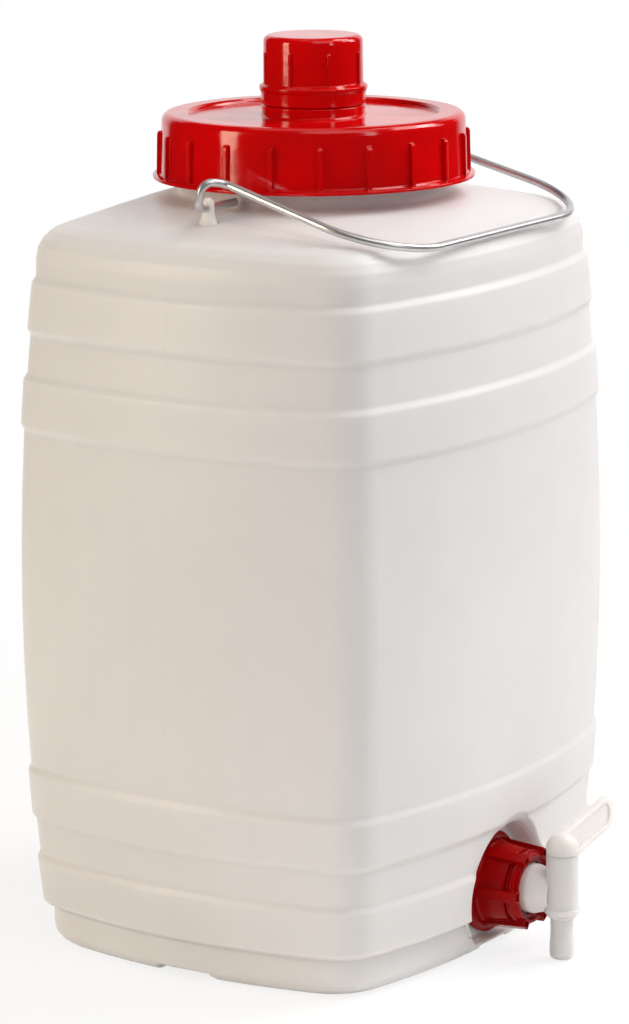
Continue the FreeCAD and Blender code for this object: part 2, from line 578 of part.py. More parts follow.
def make_tap_core():
    """Plug with its dome, snap bead, side port, spout and flat lever."""
    axis = Vector(TAP_X, TAP_AXIS_Y, 0)
    base = BARREL_TOP_Z + CORE_GAP
    dome = rounded((0, base + 2.6), DOME_RADIUS, 0, 90, 6)
    under = BARREL_BOTTOM_Z - CORE_GAP
    tip, bore_top = SPOUT_END_Z, TAP_Z + 8
    outline = [(SPOUT_BORE, tip), (SPOUT_TIP_RADIUS - 1.4, tip), (SPOUT_TIP_RADIUS - 0.4, tip + 0.8),
               (SPOUT_TIP_RADIUS, tip + 2.4), (SPOUT_TIP_RADIUS, tip + 7.0),
               (SPOUT_RADIUS, tip + 12.0), (SPOUT_RADIUS, under - SNAP_HEIGHT - 0.8),
               (SNAP_RADIUS, under - SNAP_HEIGHT), (SNAP_RADIUS, under), (PLUG_RADIUS, under),
               (PLUG_RADIUS, base), (DOME_RADIUS, base)]
    outline += dome + [(0, bore_top), (SPOUT_BORE, bore_top)]
    core = revolve(outline, axis)
    lever = lever_outline(0.0).extrude(Y_AXIS * LEVER_RIM)
    lever.translate(Y_AXIS * (-LEVER_RIM / 2))
    core = core.fuse(lever)
    pocket = lever_outline(LEVER_BORDER)
    for side in (-1, 1):
        cut = pocket.extrude(Y_AXIS * side * LEVER_RIM)
        cut.translate(Y_AXIS * side * LEVER_WEB / 2)
        core = core.cut(cut)
    port = Part.makeCylinder(SPOUT_BORE - 0.4, PLUG_RADIUS + 1, Vector(TAP_X, TAP_AXIS_Y, TAP_Z), -X_AXIS)
    return core.cut(port).removeSplitter()


PARTS = {
    "container": make_container,
    "lid_gasket": make_lid_gasket,
    "screw_lid": make_screw_lid,
    "pour_cap_gasket": make_pour_cap_gasket,
    "pour_cap": make_pour_cap,
    "bail_handle": make_bail_handle,
    "tap_gasket": make_tap_gasket,
    "tap_body": make_tap_body,
    "tap_nut": make_tap_nut,
    "tap_core": make_tap_core,
}

os.makedirs("parts", exist_ok=True)
for name, make in PARTS.items():
    shape = make()
    if shape.ShapeType != "Solid" and len(shape.Solids) == 1:
        shape = shape.Solids[0]
    shape.exportStep("parts/" + name + ".step")
    print(name, len(shape.Solids), len(shape.Faces), shape.isValid(), round(shape.Volume / 1000, 1), "cm3")
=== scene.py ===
"""Looks of the plastic water canister: finishes, screw threads, soft moulded forms and studio light.

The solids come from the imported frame, and everything here is in its axes: +Z is up, the origin
lies under the middle of the base and the tap is on the -Y face. The sizes of pieces are in
millimetres, those of finishes and of the studio in metres.
"""

import logging
import math
from dataclasses import dataclass
from enum import Enum
from typing import Optional

import bmesh
import bpy
from mathutils import Matrix, Vector
from mathutils.bvhtree import BVHTree

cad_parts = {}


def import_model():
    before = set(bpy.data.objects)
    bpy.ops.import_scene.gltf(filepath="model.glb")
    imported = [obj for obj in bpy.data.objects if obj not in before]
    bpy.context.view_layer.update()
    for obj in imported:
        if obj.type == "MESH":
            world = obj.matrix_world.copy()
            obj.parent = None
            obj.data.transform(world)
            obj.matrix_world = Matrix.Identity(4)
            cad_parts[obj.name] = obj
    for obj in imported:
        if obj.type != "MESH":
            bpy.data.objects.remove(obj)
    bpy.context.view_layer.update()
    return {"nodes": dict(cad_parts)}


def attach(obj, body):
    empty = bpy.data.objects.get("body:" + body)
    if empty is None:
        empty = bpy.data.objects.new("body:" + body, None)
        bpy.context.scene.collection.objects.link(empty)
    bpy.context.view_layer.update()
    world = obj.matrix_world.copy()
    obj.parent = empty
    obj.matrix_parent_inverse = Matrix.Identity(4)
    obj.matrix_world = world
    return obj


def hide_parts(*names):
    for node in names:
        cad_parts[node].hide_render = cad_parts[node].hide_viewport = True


LOG = logging.getLogger("canister")
MM = 0.001
TINY = 0.0001
SHARP_DEGREES = 38.0
ROUNDED_DEGREES = 32.0
WHITE = (1.0, 1.0, 1.0, 1.0)
Rgba = tuple[float, float, float, float]


class Axis(Enum):
    """Direction that a screw thread or a turned ring is laid along."""

    UP = (0.0, 0.0, 1.0)
    FORWARD = (0.0, -1.0, 0.0)


class Side(Enum):
    """Whether a thread stands out from a shaft or in from a bore."""

    OUTSIDE = 1.0
    INSIDE = -1.0


# Node materials
@dataclass(frozen=True)
class Pattern:
    """One noise pattern: cells per metre along X, Y and Z, octaves, their fall-off, distortion and turn."""

    cells: tuple[float, float, float]
    detail: float = 3.0
    rough: float = 0.5
    twist: float = 0.0
    turn: float = 0.0


class Bench:
    """Builds one node tree with short calls."""

    def __init__(self, name: str) -> None:
        """Start an empty material with an output node.

        Args:
            name: Name of the material.
        """
        self.material = bpy.data.materials.new(name)
        self.material.use_nodes = True
        self.tree = self.material.node_tree
        self.tree.nodes.clear()
        self.output = self.tree.nodes.new("ShaderNodeOutputMaterial")

    def node(self, kind: str, **settings: object) -> bpy.types.Node:
        """Add a node and set its plain properties.

        Args:
            kind: Short name of the node type.
            **settings: Properties to set on the node.

        Returns:
            The new node.
        """
        made = self.tree.nodes.new("ShaderNode" + kind)
        for key, value in settings.items():
            setattr(made, key, value)
        return made

    def feed(self, target: bpy.types.NodeSocket, source: object) -> None:
        """Link a socket to the target, or set the target's own value.

        Args:
            target: Input socket.
            source: Output socket, number, colour or vector.
        """
        if isinstance(source, bpy.types.NodeSocket):
            self.tree.links.new(source, target)
        else:
            target.default_value = source

    def noise(self, pattern: Pattern) -> bpy.types.NodeSocket:
        """Noise value on object coordinates.

        Args:
            pattern: Pattern of the noise.

        Returns:
            The value socket.
        """
        mapping = self.node("Mapping")
        mapping.inputs["Scale"].default_value = pattern.cells
        mapping.inputs["Rotation"].default_value = (0.0, 0.0, math.radians(pattern.turn))
        self.feed(mapping.inputs["Vector"], self.node("TexCoord").outputs["Object"])
        made = self.node("TexNoise")
        self.feed(made.inputs["Vector"], mapping.outputs["Vector"])
        for name, number in (("Scale", 1.0), ("Detail", pattern.detail), ("Roughness", pattern.rough),
                             ("Distortion", pattern.twist)):
            made.inputs[name].default_value = number
        return made.outputs["Fac"]

    def ramp(self, value: bpy.types.NodeSocket, low: float, high: float,
             to_low: float = 0.0, to_high: float = 1.0) -> bpy.types.NodeSocket:
        """Carry one range over to another, clamped and eased.

        Args:
            value: Value to carry over.
            low: Lower end of the range taken.
            high: Upper end of the range taken.
            to_low: Value given at the lower end.
            to_high: Value given at the upper end.

        Returns:
            The value socket.
        """
        made = self.node("MapRange", interpolation_type="SMOOTHSTEP")
        self.feed(made.inputs["Value"], value)
        for name, number in (("From Min", low), ("From Max", high), ("To Min", to_low), ("To Max", to_high)):
            made.inputs[name].default_value = number
        return made.outputs["Result"]

    def calc(self, first: object, second: object, how: str = "ADD") -> bpy.types.NodeSocket:
        """Join two numbers by one operation.

        Args:
            first: First socket or number.
            second: Second socket or number.
            how: Operation of the math node.

        Returns:
            The value socket.
        """
        made = self.node("Math", operation=how)
        self.feed(made.inputs[0], first)
        self.feed(made.inputs[1], second)
        return made.outputs[0]

    def blend(self, factor: object, first: object, second: object) -> bpy.types.NodeSocket:
        """Mix two colours.

        Args:
            factor: Share of the second colour.
            first: First colour or socket.
            second: Second colour or socket.

        Returns:
            The colour socket.
        """
        made = self.node("Mix", data_type="RGBA")
        self.feed(made.inputs["Factor"], factor)
        self.feed(made.inputs[6], first)
        self.feed(made.inputs[7], second)
        return made.outputs[2]

    def bump(self, height: bpy.types.NodeSocket, depth: float, strength: float,
             under: Optional[bpy.types.NodeSocket] = None) -> bpy.types.NodeSocket:
        """Turn a height into a surface normal.

        Args:
            height: Height value.
            depth: Height in metres of the value 1.
            strength: Strength of the effect.
            under: Normal that this one is laid over.

        Returns:
            The normal socket.
        """
        made = self.node("Bump")
        made.inputs["Strength"].default_value = strength
        made.inputs["Distance"].default_value = depth
        self.feed(made.inputs["Height"], height)
        if under is not None:
            self.feed(made.inputs["Normal"], under)
        return made.outputs["Normal"]

    def soft_edges(self, radius: float, samples: int = 6) -> bpy.types.NodeSocket:
        """Normal that turns softly over sharp edges.

        Args:
            radius: Radius of the edges in metres.
            samples: Rays spent on each look-up.

        Returns:
            The normal socket.
        """
        made = self.node("Bevel", samples=samples)
        made.inputs["Radius"].default_value = radius
        return made.outputs["Normal"]

    def principled(self, **values: object) -> None:
        """Add the main shader and join it to the output.

        Args:
            **values: Socket names with underscores for spaces.
        """
        shader = self.node("BsdfPrincipled")
        for key, value in values.items():
            self.feed(shader.inputs[key.replace("_", " ")], value)
        self.feed(self.output.inputs["Surface"], shader.outputs["BSDF"])


@dataclass(frozen=True)
class NaturalPlastic:
    """Milky uncoloured polyethylene, as blown for the tank or moulded for the tap."""

    name: str
    tone: Rgba
    shade: Rgba
    rough: float
    scatter: float
    reach: float
    streaks: float = 0.0
    seam_half: float = 0.0
    waves: float = 0.0009
    edge: float = 0.0024
    clouds: Pattern = Pattern((9.0, 9.0, 7.0), twist=0.4)
    specks: Pattern = Pattern((260.0, 260.0, 260.0), 2.0, 0.6)
    grain: Pattern = Pattern((520.0, 520.0, 520.0), 3.0, 0.55)
    swells: Pattern = Pattern((34.0, 34.0, 20.0), 2.0)
    drawn: Pattern = Pattern((190.0, 190.0, 5.0), 3.0, 0.6)
    speck_tone: Rgba = (0.74, 0.70, 0.67, 1.0)
    streak_tone: Rgba = (0.80, 0.77, 0.75, 1.0)
    seam_tone: Rgba = (0.78, 0.75, 0.73, 1.0)
    speck_share: float = 0.05
    seam_share: float = 0.16
    grain_depth: float = 0.00006
    line_depth: float = 0.00012
    index: float = 1.52
    shine: float = 0.42
    bleed: tuple[float, float, float] = (1.0, 0.9, 0.82)

    def build(self) -> bpy.types.Material:
        """Make the material.

        Returns:
            The finished material.
        """
        b = Bench(self.name)
        cloud = b.noise(self.clouds)
        colour = b.blend(b.ramp(cloud, 0.32, 0.7), self.tone, self.shade)
        fine = b.noise(self.specks)
        colour = b.blend(b.ramp(fine, 0.66, 0.8, 0.0, self.speck_share), colour, self.speck_tone)
        grain = b.noise(self.grain)
        rough = b.calc(b.ramp(cloud, 0.25, 0.75, self.rough - 0.04, self.rough + 0.05),
                       b.ramp(grain, 0.3, 0.7, -0.02, 0.03))
        normal = b.bump(grain, self.grain_depth, 0.5, b.soft_edges(self.edge))
        normal = b.bump(b.noise(self.swells), self.waves, 0.35, normal)
        if self.streaks:
            drawn = b.noise(self.drawn)
            colour = b.blend(b.ramp(drawn, 0.55, 0.8, 0.0, self.streaks), colour, self.streak_tone)
            normal = b.bump(drawn, self.line_depth, 0.5, normal)
        if self.seam_half:
            where = b.node("SeparateXYZ")
            b.feed(where.inputs[0], b.node("TexCoord").outputs["Object"])
            away = b.calc(where.outputs["Y"], 0.0, "ABSOLUTE")
            seam = b.ramp(away, self.seam_half * 0.4, self.seam_half * 1.6, 1.0, 0.0)
            colour = b.blend(b.calc(seam, self.seam_share, "MULTIPLY"), colour, self.seam_tone)
            normal = b.bump(seam, self.line_depth, 0.5, normal)
        b.principled(Base_Color=colour, Roughness=rough, Normal=normal, IOR=self.index,
                     Subsurface_Weight=self.scatter, Subsurface_Scale=self.reach,
                     Subsurface_Radius=self.bleed, Specular_IOR_Level=self.shine)
        return b.material


@dataclass(frozen=True)
class GlossRed:
    """Bright red injection moulding with a smooth skin and fine handling marks."""

    name: str
    tone: Rgba = (0.62, 0.0012, 0.0020, 1.0)
    deep: Rgba = (0.50, 0.0008, 0.0014, 1.0)
    rough: float = 0.10
    shine: float = 0.5
    edge: float = 0.0006
    clouds: Pattern = Pattern((28.0, 28.0, 28.0), twist=0.3)
    scuffs: Pattern = Pattern((900.0, 900.0, 70.0), 4.0, 0.65, turn=31.0)
    peel: Pattern = Pattern((240.0, 240.0, 240.0), 2.0)
    scuff_tone: Rgba = (0.78, 0.06, 0.05, 1.0)
    scuff_share: float = 0.06
    scuff_rough: float = 0.10
    scuff_depth: float = 0.00002
    peel_depth: float = 0.00010
    index: float = 1.5
    scatter: float = 0.12
    reach: float = 0.002
    bleed: tuple[float, float, float] = (1.0, 0.15, 0.1)

    def build(self) -> bpy.types.Material:
        """Make the material.

        Returns:
            The finished material.
        """
        b = Bench(self.name)
        cloud = b.noise(self.clouds)
        colour = b.blend(b.ramp(cloud, 0.3, 0.72), self.tone, self.deep)
        scuff = b.noise(self.scuffs)
        marks = b.ramp(scuff, 0.62, 0.78)
        colour = b.blend(b.calc(marks, self.scuff_share, "MULTIPLY"), colour, self.scuff_tone)
        rough = b.calc(b.ramp(cloud, 0.25, 0.75, self.rough - 0.04, self.rough + 0.05),
                       b.calc(marks, self.scuff_rough, "MULTIPLY"))
        normal = b.bump(b.noise(self.peel), self.peel_depth, 0.35, b.soft_edges(self.edge))
        normal = b.bump(scuff, self.scuff_depth, 0.4, normal)
        b.principled(Base_Color=colour, Roughness=rough, Normal=normal, IOR=self.index,
                     Subsurface_Weight=self.scatter, Subsurface_Scale=self.reach,
                     Subsurface_Radius=self.bleed, Specular_IOR_Level=self.shine)
        return b.material


@dataclass(frozen=True)
class ZincWire:
    """Drawn steel wire with a bright zinc skin."""

    name: str
    tone: Rgba = (0.66, 0.66, 0.67, 1.0)
    dull: Rgba = (0.52, 0.52, 0.53, 1.0)
    patches: Pattern = Pattern((90.0, 90.0, 90.0), 3.0, 0.6, 0.5)
    grain: Pattern = Pattern((2600.0, 2600.0, 2600.0), 2.0, 0.6)
    grain_depth: float = 0.000004
    metal: float = 0.82

    def build(self) -> bpy.types.Material:
        """Make the material.

        Returns:
            The finished material.
        """
        b = Bench(self.name)
        patch = b.noise(self.patches)
        colour = b.blend(b.ramp(patch, 0.35, 0.75, 0.0, 0.6), self.tone, self.dull)
        grain = b.noise(self.grain)
        rough = b.calc(b.ramp(patch, 0.3, 0.75, 0.30, 0.36), b.ramp(grain, 0.4, 0.7, -0.02, 0.03))
        normal = b.bump(grain, self.grain_depth, 0.5)
        b.principled(Base_Color=colour, Metallic=self.metal, Roughness=rough, Normal=normal)
        return b.material


@dataclass(frozen=True)
class SealRubber:
    """Soft pale sealing ring."""

    name: str
    tone: Rgba = (0.56, 0.55, 0.52, 1.0)
    dust: Rgba = (0.66, 0.64, 0.60, 1.0)
    clouds: Pattern = Pattern((60.0, 60.0, 60.0), 4.0, 0.6)
    grain: Pattern = Pattern((1500.0, 1500.0, 1500.0), 2.0, 0.6)
    grain_depth: float = 0.00005
    shine: float = 0.4

    def build(self) -> bpy.types.Material:
        """Make the material.

        Returns:
            The finished material.
        """
        b = Bench(self.name)
        cloud = b.noise(self.clouds)
        colour = b.blend(b.ramp(cloud, 0.35, 0.7), self.tone, self.dust)
        grain = b.noise(self.grain)
        b.principled(Base_Color=colour, Roughness=b.ramp(grain, 0.3, 0.7, 0.5, 0.68),
                     Normal=b.bump(grain, self.grain_depth, 0.5), Specular_IOR_Level=self.shine)
        return b.material


@dataclass(frozen=True)
class PaleFloor:
    """Plain pale floor that reads as a white ground and keeps the object's shadow."""

    name: str
    tone: Rgba = (0.90, 0.90, 0.895, 1.0)
    dust: Rgba = (0.86, 0.86, 0.85, 1.0)
    grain: Pattern = Pattern((40.0, 40.0, 40.0), 2.0)
    shadow_share: float = 0.20
    near: float = 0.30
    far: float = 0.95

    def build(self) -> bpy.types.Material:
        """Make the material.

        Returns:
            The finished material.
        """
        b = Bench(self.name)
        body = b.node("BsdfDiffuse")
        colour = b.blend(b.ramp(b.noise(self.grain), 0.3, 0.7, 0.0, 0.06), self.tone, self.dust)
        b.feed(body.inputs["Color"], colour)
        length = b.node("VectorMath", operation="LENGTH")
        b.feed(length.inputs[0], b.node("TexCoord").outputs["Object"])
        share = b.ramp(length.outputs["Value"], self.near, self.far, 1.0 - self.shadow_share, 1.0)
        glow = b.node("Emission")
        path = b.node("LightPath")
        seen = b.calc(b.calc(path.outputs["Is Camera Ray"], path.outputs["Is Glossy Ray"], "MAXIMUM"),
                     path.outputs["Is Transmission Ray"], "MAXIMUM")
        mix = b.node("MixShader")
        b.feed(mix.inputs[0], b.calc(seen, share, "MULTIPLY"))
        b.feed(mix.inputs[1], body.outputs[0])
        b.feed(mix.inputs[2], glow.outputs[0])
        b.feed(b.output.inputs["Surface"], mix.outputs[0])
        return b.material


class Finish(Enum):
    """The finishes of the canister, by what they are put on."""

    TANK = NaturalPlastic("natural_tank", (0.86, 0.835, 0.81, 1.0), (0.81, 0.785, 0.765, 1.0),
                          rough=0.40, scatter=0.55, reach=0.014, streaks=0.22, seam_half=0.0005)
    TAP = NaturalPlastic("natural_tap", (0.78, 0.755, 0.735, 1.0), (0.75, 0.725, 0.70, 1.0),
                         rough=0.30, scatter=0.7, reach=0.006, waves=0.00012, edge=0.0005)
    RED = GlossRed("red_moulding")
    # Painted shade: the nut's tone and deep are the lid's red made darker, standing in for the shade of the
    # niche that the nut sits in.
    NUT = GlossRed("red_nut_painted_shade", (0.33, 0.0008, 0.0010, 1.0), (0.23, 0.0006, 0.0008, 1.0),
                   rough=0.12, shine=0.10)
    WIRE = ZincWire("zinc_wire")
    SEAL = SealRubber("seal")
    FLOOR = PaleFloor("floor")


class Materials:
    """Makes each finish once and hands it out."""

    def __init__(self) -> None:
        """Start with no material made."""
        self.made: dict[Finish, bpy.types.Material] = {}

    def get(self, finish: Finish) -> bpy.types.Material:
        """Material of a finish.

        Args:
            finish: Finish wanted.

        Returns:
            The material.
        """
        if finish not in self.made:
            self.made[finish] = finish.value.build()
        return self.made[finish]

    def dress(self, obj: bpy.types.Object, finish: Finish) -> None:
        """Put a finish on every slot of an object.

        Args:
            obj: Object to dress.
            finish: Finish to put on.
        """
        material = self.get(finish)
        if not obj.material_slots:
            obj.data.materials.append(material)
        for place in obj.material_slots:
            place.material = material


# Mesh helpers
def add_piece(name: str, mesh: bmesh.types.BMesh, smooth: bool = True) -> bpy.types.Object:
    """Turn built geometry into an object at the origin.

    Args:
        name: Name of the piece.
        mesh: Built geometry, freed here.
        smooth: Whether its faces are shaded smooth.

    Returns:
        The new object.
    """
    bmesh.ops.recalc_face_normals(mesh, faces=mesh.faces)
    data = bpy.data.meshes.new(name)
    mesh.to_mesh(data)
    mesh.free()
    for face in data.polygons:
        face.use_smooth = smooth
    data.set_sharp_from_angle(angle=math.radians(SHARP_DEGREES))
    made = bpy.data.objects.new(name, data)
    bpy.context.scene.collection.objects.link(made)
    return made


def lay_down(mesh: bmesh.types.BMesh, axis: Axis, centre: tuple[float, float, float]) -> None:
    """Turn geometry from +Z to its axis, move it to its place and bring it to metres.

    Args:
        mesh: Geometry in millimetres.
        axis: Axis wanted.
        centre: Place wanted.
    """
    turn = Vector(Axis.UP.value).rotation_difference(Vector(axis.value)).to_matrix()
    bmesh.ops.rotate(mesh, verts=mesh.verts, matrix=turn)
    bmesh.ops.translate(mesh, verts=mesh.verts, vec=centre)
    bmesh.ops.scale(mesh, verts=mesh.verts, vec=(MM, MM, MM))


def eased(near: float, run_out: float) -> float:
    """Rise smoothly from 0 at an end to 1 past its run-out."""
    share = min(1.0, max(0.0, near / run_out))
    return share * share * (3.0 - 2.0 * share)


@dataclass(frozen=True)
class Thread:
    """Right-hand helical ridge on a shaft or in a bore, sizes in millimetres."""

    name: str
    core: float
    crest: float
    start: float
    pitch: float
    turns: float
    root_width: float
    crest_width: float
    side: Side = Side.OUTSIDE
    axis: Axis = Axis.UP
    centre: tuple[float, float, float] = (0.0, 0.0, 0.0)
    first: float = 0.0
    steps_per_turn: int = 72
    sink: float = 0.4
    run_out: float = 24.0
    end_share: float = 0.12
    slack: float = 0.01

    def build(self) -> bpy.types.Object:
        """Sweep the ridge's section along its helix and thin out both ends.

        Returns:
            The ridge as an object.
        """
        mesh = bmesh.new()
        bmesh.ops.create_grid(mesh, x_segments=1, y_segments=1, size=0.5)
        bmesh.ops.rotate(mesh, verts=mesh.verts, matrix=Matrix.Rotation(math.radians(90.0), 3, "X"))
        root = self.core - self.sink * self.side.value
        for vert in mesh.verts:
            outer = vert.co.x > 0.0
            half = (self.crest_width if outer else self.root_width) / 2.0
            vert.co.z = math.copysign(half, vert.co.z) + self.start
            vert.co.x = self.crest if outer else root
        steps = int(self.turns * self.steps_per_turn)
        sweep = math.radians(360.0 * self.turns)
        bmesh.ops.spin(mesh, geom=mesh.verts[:] + mesh.edges[:] + mesh.faces[:], angle=sweep, steps=steps,
                       axis=(0.0, 0.0, 1.0), cent=(0.0, 0.0, 0.0), use_duplicate=False,
                       dvec=(0.0, 0.0, self.pitch * self.turns / steps))
        self.taper(mesh, root)
        turn = Matrix.Rotation(math.radians(self.first), 3, "Z")
        bmesh.ops.rotate(mesh, verts=mesh.verts, matrix=turn)
        lay_down(mesh, self.axis, self.centre)
        return add_piece(self.name, mesh)

    def taper(self, mesh: bmesh.types.BMesh, root: float) -> None:
        """Let the ridge rise from the core and sink back at its ends.

        Args:
            mesh: The swept ridge about +Z.
            root: Radius of the ridge's foot.
        """
        whole = 360.0 * self.turns
        for vert in mesh.verts:
            radius = math.hypot(vert.co.x, vert.co.y)
            if abs(radius - self.crest) > self.slack:
                continue
            along = (vert.co.z - self.start) / self.pitch * 360.0
            rise = eased(min(along, whole - along), self.run_out)
            wanted = root + (self.crest - root) * (self.end_share + (1.0 - self.end_share) * rise)
            vert.co.x *= wanted / radius
            vert.co.y *= wanted / radius


def round_edges(obj: bpy.types.Object, width: float, segments: int = 2) -> None:
    """Round the sharp edges of a piece.

    Args:
        obj: Piece to round.
        width: Width of the rounding in millimetres.
        segments: Steps across it.
    """
    rounding = obj.modifiers.new("rounding", "BEVEL")
    rounding.width = width * MM
    rounding.segments = segments
    rounding.limit_method = "ANGLE"
    rounding.angle_limit = math.radians(ROUNDED_DEGREES)
    rounding.harden_normals = True


@dataclass(frozen=True)
class NicheRoll:
    """Soft roll from the front wall into the tap's niche, laid over the plain flare, sizes in millimetres."""

    name: str = "niche_roll"
    centre_z: float = 30.5
    seat_y: float = -98.4
    floor_radius: float = 31.0
    draft: float = 9.0
    knee: float = 9.5
    flare: float = 40.0
    first: float = -40.0
    last: float = 214.0
    steps: int = 127
    across: int = 10
    sink: float = 0.12
    thick: float = 1.6
    run_out: float = 24.0
    smoothing: int = 3
    search_start: float = 0.5
    search_step: float = 0.1
    search_end: float = 52.0
    off_flare: float = 0.12
    edge_step: float = 0.3
    near_step: float = 0.8
    far_step: float = 4.0
    foot_drop: float = 2.0
    lap: float = 1.0
    bulge: float = 1.0

    def build(self, wall: bpy.types.Object) -> bpy.types.Object:
        """Bend a strip along the niche's rim.

        Args:
            wall: The tank, whose front wall the roll runs into.

        Returns:
            The roll as an object.
        """
        tree = BVHTree.FromObject(wall, bpy.context.evaluated_depsgraph_get())
        angles = [self.first + (self.last - self.first) * i / self.steps for i in range(self.steps + 1)]
        edges = [self.outer_edge(tree, math.radians(angle)) for angle in angles]
        mesh = bmesh.new()
        bmesh.ops.create_grid(mesh, x_segments=self.steps, y_segments=self.across, size=1.0)
        for vert in mesh.verts:
            along = round((vert.co.x + 1.0) / 2.0 * self.steps)
            share = (vert.co.y + 1.0) / 2.0
            span = edges[max(0, along - self.smoothing):along + self.smoothing + 1]
            edge = [sum(values) / len(span) for values in zip(*span)]
            ends = min(angles[along] - self.first, self.last - angles[along])
            radius, depth = self.point(edge, share, eased(ends, self.run_out))
            turn = math.radians(angles[along])
            vert.co = Vector((radius * math.cos(turn), self.seat_y - depth,
                              self.centre_z + radius * math.sin(turn))) * MM
        made = add_piece(self.name, mesh)
        if sum(face.normal.y * face.area for face in made.data.polygons) > 0.0:
            made.data.flip_normals()
        shell = made.modifiers.new("shell", "SOLIDIFY")
        shell.thickness = self.thick * MM
        shell.offset = -1.0
        return made

    def outer_edge(self, tree: BVHTree, turn: float) -> tuple[float, float, float, float]:
        """Find where the flare meets the front wall at one bearing.

        Args:
            tree: Faces of the tank.
            turn: Bearing about the niche's axis in radians.

        Returns:
            Radius and depth of the meeting point, and of the corner that wall and niche would form.
        """
        slope, draft = math.tan(math.radians(self.flare)), math.tan(math.radians(self.draft))

        def depth(radius: float) -> float:
            """Depth of the front wall over the niche's floor.

            Args:
                radius: Distance from the niche's axis.

            Returns:
                The depth in millimetres.
            """
            start = Vector((radius * math.cos(turn), -200.0, self.centre_z + radius * math.sin(turn))) * MM
            hit = tree.ray_cast(start, Vector((0.0, 1.0, 0.0)))[0]
            return self.seat_y - hit.y / MM if hit else 0.0

        knee_radius = self.floor_radius + draft * self.knee
        radius = knee_radius + self.search_start
        while (radius < self.search_end
               and abs(depth(radius) - self.knee - (radius - knee_radius) / slope) < self.off_flare):
            radius += self.search_step
        near, far = depth(radius + self.near_step), depth(radius + self.far_step)
        tilt = (far - near) / (self.far_step - self.near_step)
        corner = self.floor_radius + draft * near
        for _ in range(3):
            corner_depth = near + tilt * (corner - radius - self.near_step)
            corner = self.floor_radius + draft * corner_depth
        return radius + self.edge_step, near - (self.near_step - self.edge_step) * tilt, corner, corner_depth

    def point(self, edge: list[float], share: float, rise: float) -> tuple[float, float]:
        """Point on the roll's section.

        Args:
            edge: Smoothed meeting point and corner.
            share: Place across the roll, from the niche to the wall.
            rise: How fully the roll bulges.

        Returns:
            Radius and depth of the point.
        """
        foot_depth = self.knee - self.foot_drop
        foot = self.floor_radius + math.tan(math.radians(self.draft)) * foot_depth + self.sink
        far, far_depth = edge[0] + self.lap, edge[1] - self.sink
        middle = ((foot + far) / 2.0 + self.bulge, (foot_depth + far_depth) / 2.0 - self.bulge)
        corner = [flat + (full - flat) * rise for flat, full in zip(middle, edge[2:])]
        a, b, c = (1.0 - share) ** 2, 2.0 * share * (1.0 - share), share ** 2
        return a * foot + b * corner[0] + c * far, a * foot_depth + b * corner[1] + c * far_depth


@dataclass(frozen=True)
class SoftLug:
    """One handle lug as it is blown: a narrow rounded nub that melts into the shoulder, in millimetres."""

    name: str
    side: float
    reach: float = 92.2
    bottom_z: float = 362.2
    top_z: float = 376.1
    spread_z: float = 369.8
    half_x: float = 2.4
    half_y: float = 3.0
    foot_x: float = 1.7
    foot_y: float = 3.6
    crown: float = 3.0
    room_x: float = 2.2
    room_y: float = 5.1
    room_rise: float = 2.7

    def build(self) -> bpy.types.Object:
        """Draw a ball out into the nub.

        Returns:
            The lug as an object.
        """
        mesh = bmesh.new()
        bmesh.ops.create_uvsphere(mesh, u_segments=40, v_segments=32, radius=1.0)
        for vert in mesh.verts:
            height = self.bottom_z + (self.top_z - self.bottom_z) * (vert.co.z + 1.0) / 2.0
            ring = math.hypot(vert.co.x, vert.co.y)
            over = max(0.0, (height - self.top_z + self.crown) / self.crown)
            round_off = math.sqrt(max(0.0, 1.0 - over * over))
            foot = max(0.0, (self.spread_z - height) / (self.spread_z - self.bottom_z)) ** 2
            wide = round_off / ring if ring > TINY else 0.0
            vert.co = Vector((vert.co.x * wide * (self.half_x + self.foot_x * foot) + self.side * self.reach,
                              vert.co.y * wide * (self.half_y + self.foot_y * foot), height)) * MM
        return add_piece(self.name, mesh)

    def clear_room(self, wall: bpy.types.Object) -> None:
        """Leave the plain lug of the solid out of what is shown.

        Args:
            wall: The tank.
        """
        group = wall.vertex_groups.new(name=self.name)
        for vert in wall.data.vertices:
            x, y, z = vert.co / MM
            over = z > self.bottom_z + self.room_rise
            if over and abs(x - self.side * self.reach) < self.room_x and abs(y) < self.room_y:
                group.add([vert.index], 1.0, "REPLACE")
        hidden = wall.modifiers.new(self.name, "MASK")
        hidden.vertex_group = group.name
        hidden.invert_vertex_group = True


# Sub-assemblies
@dataclass
class Tank:
    """The blown tank: its finish, the threads of neck and spigot, the niche's roll and the soft lugs."""

    materials: Materials
    nodes: dict[str, bpy.types.Object]
    neck_radius: float = 66.0
    neck_crest: float = 69.2
    neck_thread_z: float = 379.5
    neck_pitch: float = 8.0
    spigot_radius: float = 16.0
    spigot_crest: float = 16.9
    spigot_start: float = 101.6
    spigot_pitch: float = 3.0
    spigot_z: float = 33.2

    def build(self) -> list[str]:
        """Dress the tank and add its threads, roll and lugs.

        Returns:
            Names of the pieces dealt with.
        """
        self.materials.dress(self.nodes["container"], Finish.TANK)
        neck = Thread("neck_thread", self.neck_radius, self.neck_crest, self.neck_thread_z, self.neck_pitch,
                      turns=1.55, root_width=4.0, crest_width=1.7, first=20.0, steps_per_turn=120).build()
        spigot = Thread("spigot_thread", self.spigot_radius, self.spigot_crest, self.spigot_start,
                        self.spigot_pitch, turns=4.2, root_width=2.2, crest_width=0.8, axis=Axis.FORWARD,
                        centre=(0.0, 0.0, self.spigot_z)).build()
        roll = NicheRoll().build(self.nodes["container"])
        pieces = [neck, spigot, roll]
        for lug in (SoftLug("lug_left", -1.0), SoftLug("lug_right", 1.0)):
            lug.clear_room(self.nodes["container"])
            pieces.append(lug.build())
        for piece in pieces:
            self.materials.dress(piece, Finish.TANK)
            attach(piece, "tank")
        return ["container"] + [piece.name for piece in pieces]


